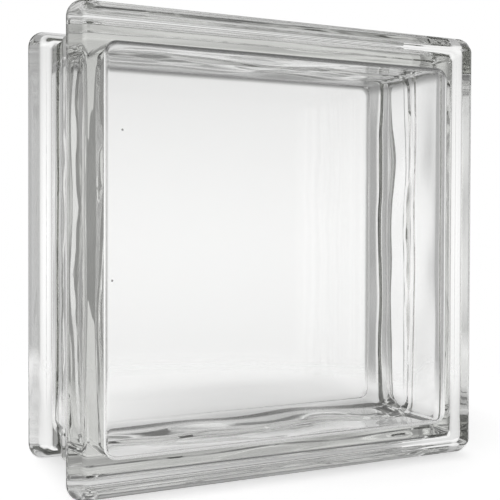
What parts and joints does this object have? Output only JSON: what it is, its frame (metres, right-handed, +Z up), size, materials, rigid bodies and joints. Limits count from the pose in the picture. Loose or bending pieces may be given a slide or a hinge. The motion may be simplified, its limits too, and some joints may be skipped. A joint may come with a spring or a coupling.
{
  "type": "glass block",
  "caption": "Square hollow block of clear pressed glass with flat faces, a mortar channel round its edge and a sealed cavity inside.",
  "frame": {"origin": "middle of the bottom, on the floor that the block stands on, halfway between its two faces", "axes": "+Y through the block from the front face to the back face, +X to the right as the front face is seen, +Z up"},
  "size_m": [0.19, 0.08, 0.19],
  "materials": {
    "glass": "clear pressed glass, fire polished"
  },
  "bodies": {
    "root": {"glass_block": "glass"}
  },
  "joints": []
}
